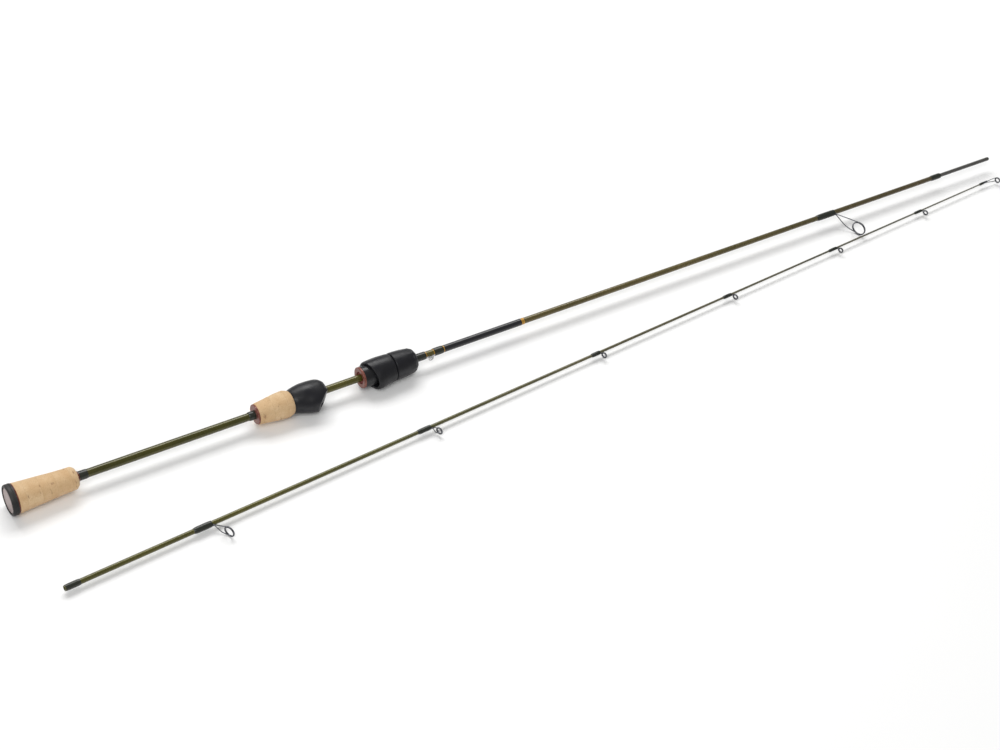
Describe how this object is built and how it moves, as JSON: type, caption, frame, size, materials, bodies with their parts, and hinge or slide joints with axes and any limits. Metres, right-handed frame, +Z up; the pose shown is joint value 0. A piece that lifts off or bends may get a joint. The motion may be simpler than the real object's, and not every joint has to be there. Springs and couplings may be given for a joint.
{
  "type": "spinning rod",
  "caption": "Light spinning rod taken apart into butt and tip sections: split cork grip, skeleton reel seat with screw-down hood, hook keeper, wire line guides, spigot joint.",
  "frame": {"origin": "on the floor, at the middle of the footprint of the two sections lying side by side", "axes": "+X along the butt section towards its spigot, +Z up; the guides stand out to -Y"},
  "size_m": [1.0185, 0.1124, 0.025],
  "materials": {
    "cap_rubber": "satin",
    "cap_plate": "satin",
    "check_red": "gloss",
    "cork": "matt",
    "blank_olive": "gloss",
    "blank_grey": "gloss",
    "thread_wrap": "gloss",
    "seat_plastic": "satin",
    "barrel_plastic": "satin",
    "copper_ring": "satin",
    "arbor": "matt",
    "keeper_wire": "bright",
    "gold_trim": "gloss",
    "label": "gloss",
    "guide_frame": "gunmetal",
    "guide_ring": "polished",
    "spigot_graphite": "satin"
  },
  "bodies": {
    "butt_section": {"butt_cap": "cap_rubber", "butt_cap_plate": "cap_plate", "butt_cap_check": "check_red", "butt_cork": "cork", "butt_cork_check": "check_red", "butt_cork_wrap": "thread_wrap", "butt_blank": "blank_olive", "seat_rear_wrap": "thread_wrap", "seat_cork_check": "copper_ring", "seat_cork": "cork", "fixed_hood": "seat_plastic", "fixed_hood_arbor": "arbor", "seat_barrel": "barrel_plastic", "barrel_ring": "copper_ring", "barrel_arbor": "arbor", "seat_front_wrap": "thread_wrap", "keeper_front_wrap": "thread_wrap", "keeper_trim": "gold_trim", "keeper_base": "keeper_wire", "label_sleeve": "label", "label_trim": "gold_trim", "stripping_guide_wrap": "thread_wrap", "stripping_guide_frame": "guide_frame", "stripping_guide_ring": "guide_ring", "ferrule_wrap": "thread_wrap", "spigot": "spigot_graphite"},
    "sliding_hood": {"moving_hood": "seat_plastic"},
    "turning_nut": {"lock_nut": "seat_plastic"},
    "keeper_loop": {"keeper_ring": "keeper_wire"},
    "tip_section": {"tip_blank": "blank_grey", "socket_wrap": "thread_wrap", "guide_1_wrap": "thread_wrap", "guide_1_frame": "guide_frame", "guide_1_ring": "guide_ring", "guide_2_wrap": "thread_wrap", "guide_2_frame": "guide_frame", "guide_2_ring": "guide_ring", "guide_3_wrap": "thread_wrap", "guide_3_frame": "guide_frame", "guide_3_ring": "guide_ring", "guide_4_wrap": "thread_wrap", "guide_4_frame": "guide_frame", "guide_4_ring": "guide_ring", "guide_5_wrap": "thread_wrap", "guide_5_frame": "guide_frame", "guide_5_ring": "guide_ring", "guide_6_wrap": "thread_wrap", "guide_6_frame": "guide_frame", "guide_6_ring": "guide_ring", "tip_top_wrap": "thread_wrap", "tip_top_tube": "guide_frame", "tip_top_ring": "guide_ring"}
  },
  "joints": [
    {"name": "hood_slide", "type": "slide", "parent": "butt_section", "child": "sliding_hood", "axis": [1, 0, 0], "range_m": [-0.004, 0.008]},
    {"name": "nut_turn", "type": "hinge", "parent": "sliding_hood", "child": "turning_nut", "pos_m": [-0.164, 0.044, 0.0125], "axis": [1, 0, 0], "range_deg": [-720, 1440]},
    {"name": "keeper_swing", "type": "hinge", "parent": "butt_section", "child": "keeper_loop", "pos_m": [-0.1403, 0.04009, 0.01167], "axis": [1, 0, 0], "range_deg": [-182, 26]},
    {"name": "tip_section_lift", "type": "slide", "parent": "butt_section", "child": "tip_section", "axis": [0, 0, 1], "range_m": [0, 0.25]}
  ],
  "couplings": [
    {"joint": "hood_slide", "follows": "nut_turn", "m_per_rad": 0.00031831}
  ]
}
